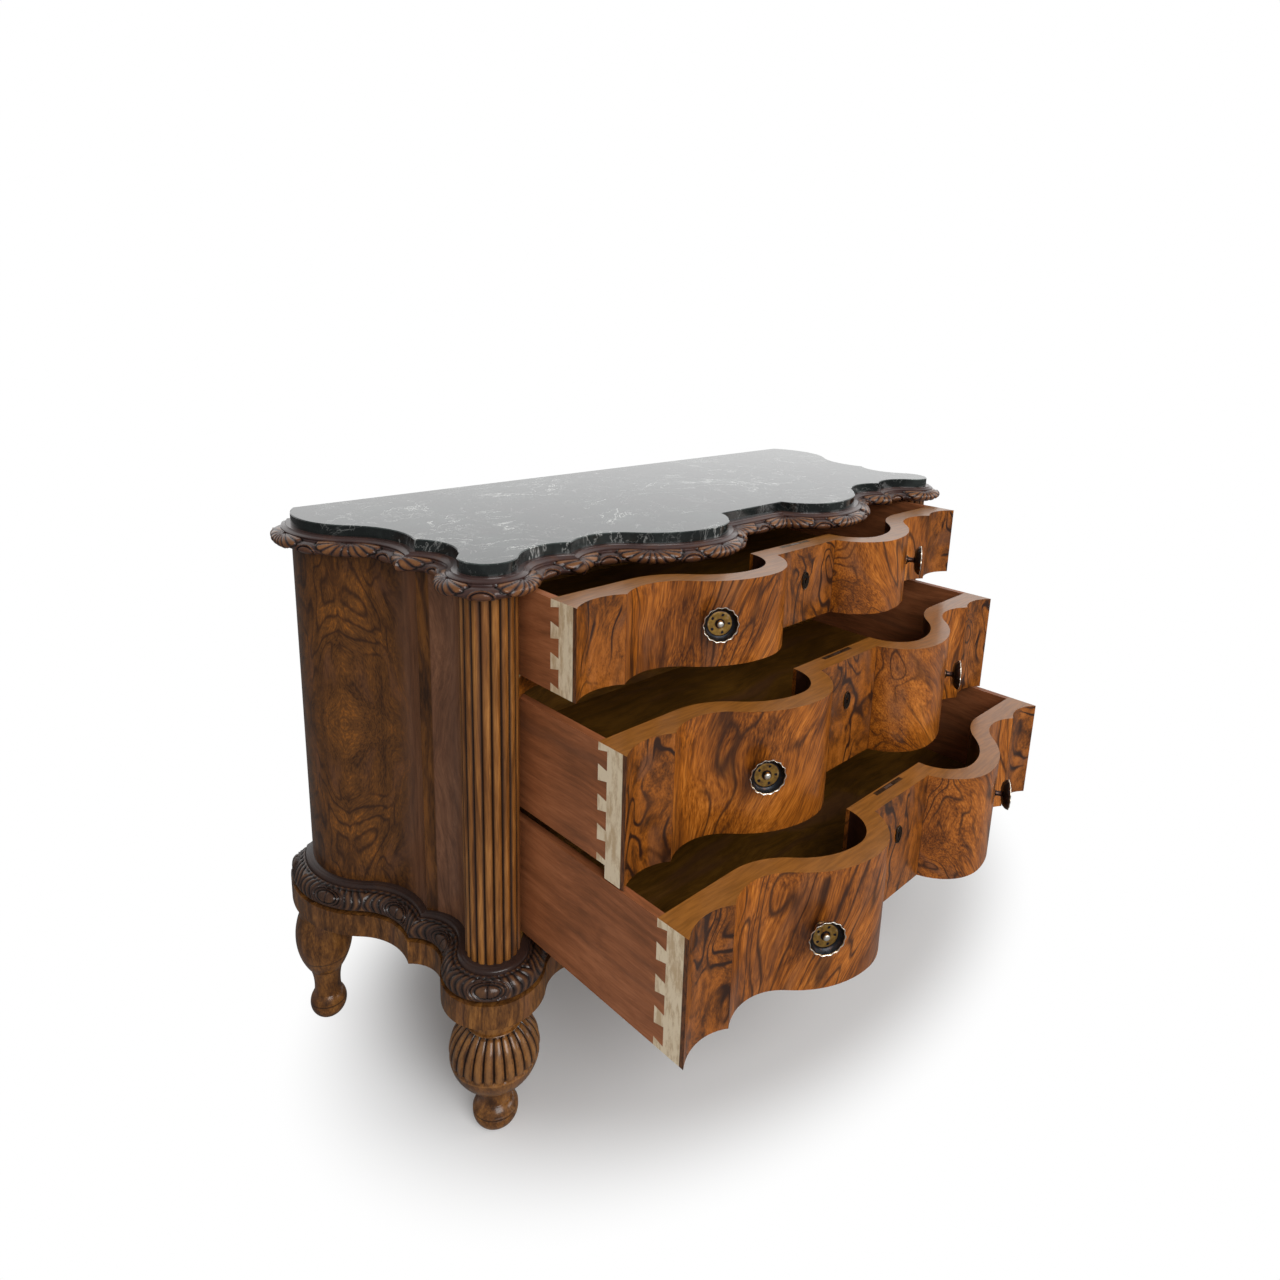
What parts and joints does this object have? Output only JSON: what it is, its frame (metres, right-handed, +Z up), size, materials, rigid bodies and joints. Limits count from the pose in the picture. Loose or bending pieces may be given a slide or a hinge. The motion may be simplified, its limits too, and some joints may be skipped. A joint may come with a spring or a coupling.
{
  "type": "serpentine chest of drawers",
  "caption": "Walnut chest of drawers with a serpentine front, marble top, reeded corner columns, carved mouldings and turned feet; the drawers slide out and their lock bolts rise.",
  "frame": {"origin": "on the floor, in the mirror plane, below the bottom of the hollows in the shut drawer fronts; with the drawers out as stored this is the middle of the footprint", "axes": "+Z up, -Y out of the front (the way the drawers open), +X to the right as seen from the front"},
  "size_m": [1.486, 0.9293, 0.996],
  "materials": {
    "marble": "polished, dark with white veins",
    "carved_walnut": "polished dark walnut",
    "walnut_veneer": "french-polished figured walnut",
    "drawer_side_wood": "red-brown stained",
    "carcass_wood": "plain unpolished wood",
    "aged_brass": "patinated",
    "dark_metal": "dark oxidised metal",
    "bolt_steel": "worn steel"
  },
  "bodies": {
    "carcass": {"marble_top": "marble", "sub_top_board": "carcass_wood", "back_panel": "carcass_wood", "upper_divider": "walnut_veneer", "lower_divider": "carcass_wood", "bottom_board": "carcass_wood", "drawer_guides": "carcass_wood", "top_moulding_front": "carved_walnut", "base_moulding_front": "carved_walnut", "plinth_front": "carved_walnut", "plinth_rear": "carcass_wood", "side_panel_right": "walnut_veneer", "corner_post_right": "carved_walnut", "reeded_column_right": "carved_walnut", "rear_post_right": "carcass_wood", "top_moulding_corner_right": "carved_walnut", "top_moulding_side_right": "carved_walnut", "base_moulding_corner_right": "carved_walnut", "base_moulding_side_right": "carved_walnut", "plinth_right": "carved_walnut", "foot_front_right": "carved_walnut", "foot_rear_right": "carved_walnut", "side_panel_left": "walnut_veneer", "corner_post_left": "carved_walnut", "reeded_column_left": "carved_walnut", "rear_post_left": "carcass_wood", "top_moulding_corner_left": "carved_walnut", "top_moulding_side_left": "carved_walnut", "base_moulding_corner_left": "carved_walnut", "base_moulding_side_left": "carved_walnut", "plinth_left": "carved_walnut", "foot_front_left": "carved_walnut", "foot_rear_left": "carved_walnut"},
    "upper_drawer": {"upper_drawer_front": "walnut_veneer", "upper_drawer_side_right": "drawer_side_wood", "upper_drawer_side_left": "drawer_side_wood", "upper_drawer_back": "carcass_wood", "upper_drawer_bottom": "carcass_wood", "upper_drawer_knobs": "aged_brass", "upper_drawer_keyhole_plate": "dark_metal", "upper_drawer_lock_case": "dark_metal"},
    "upper_bolt": {"upper_drawer_lock_bolt": "bolt_steel"},
    "middle_drawer": {"middle_drawer_front": "walnut_veneer", "middle_drawer_side_right": "drawer_side_wood", "middle_drawer_side_left": "drawer_side_wood", "middle_drawer_back": "carcass_wood", "middle_drawer_bottom": "carcass_wood", "middle_drawer_knobs": "aged_brass", "middle_drawer_keyhole_plate": "dark_metal", "middle_drawer_lock_case": "dark_metal"},
    "middle_bolt": {"middle_drawer_lock_bolt": "bolt_steel"},
    "lower_drawer": {"lower_drawer_front": "walnut_veneer", "lower_drawer_side_right": "drawer_side_wood", "lower_drawer_side_left": "drawer_side_wood", "lower_drawer_back": "carcass_wood", "lower_drawer_bottom": "carcass_wood", "lower_drawer_knobs": "aged_brass", "lower_drawer_keyhole_plate": "dark_metal", "lower_drawer_lock_case": "dark_metal"},
    "lower_bolt": {"lower_drawer_lock_bolt": "bolt_steel"}
  },
  "joints": [
    {"name": "upper_drawer_slide", "type": "slide", "parent": "carcass", "child": "upper_drawer", "axis": [0, -1, 0], "range_m": [-0.132, 0.268]},
    {"name": "upper_bolt_slide", "type": "slide", "parent": "upper_drawer", "child": "upper_bolt", "axis": [0, 0, 1], "range_m": [0, 0.009]},
    {"name": "middle_drawer_slide", "type": "slide", "parent": "carcass", "child": "middle_drawer", "axis": [0, -1, 0], "range_m": [-0.241, 0.159]},
    {"name": "middle_bolt_slide", "type": "slide", "parent": "middle_drawer", "child": "middle_bolt", "axis": [0, 0, 1], "range_m": [0, 0.009]},
    {"name": "lower_drawer_slide", "type": "slide", "parent": "carcass", "child": "lower_drawer", "axis": [0, -1, 0], "range_m": [-0.368, 0.032]},
    {"name": "lower_bolt_slide", "type": "slide", "parent": "lower_drawer", "child": "lower_bolt", "axis": [0, 0, 1], "range_m": [0, 0.009]}
  ]
}
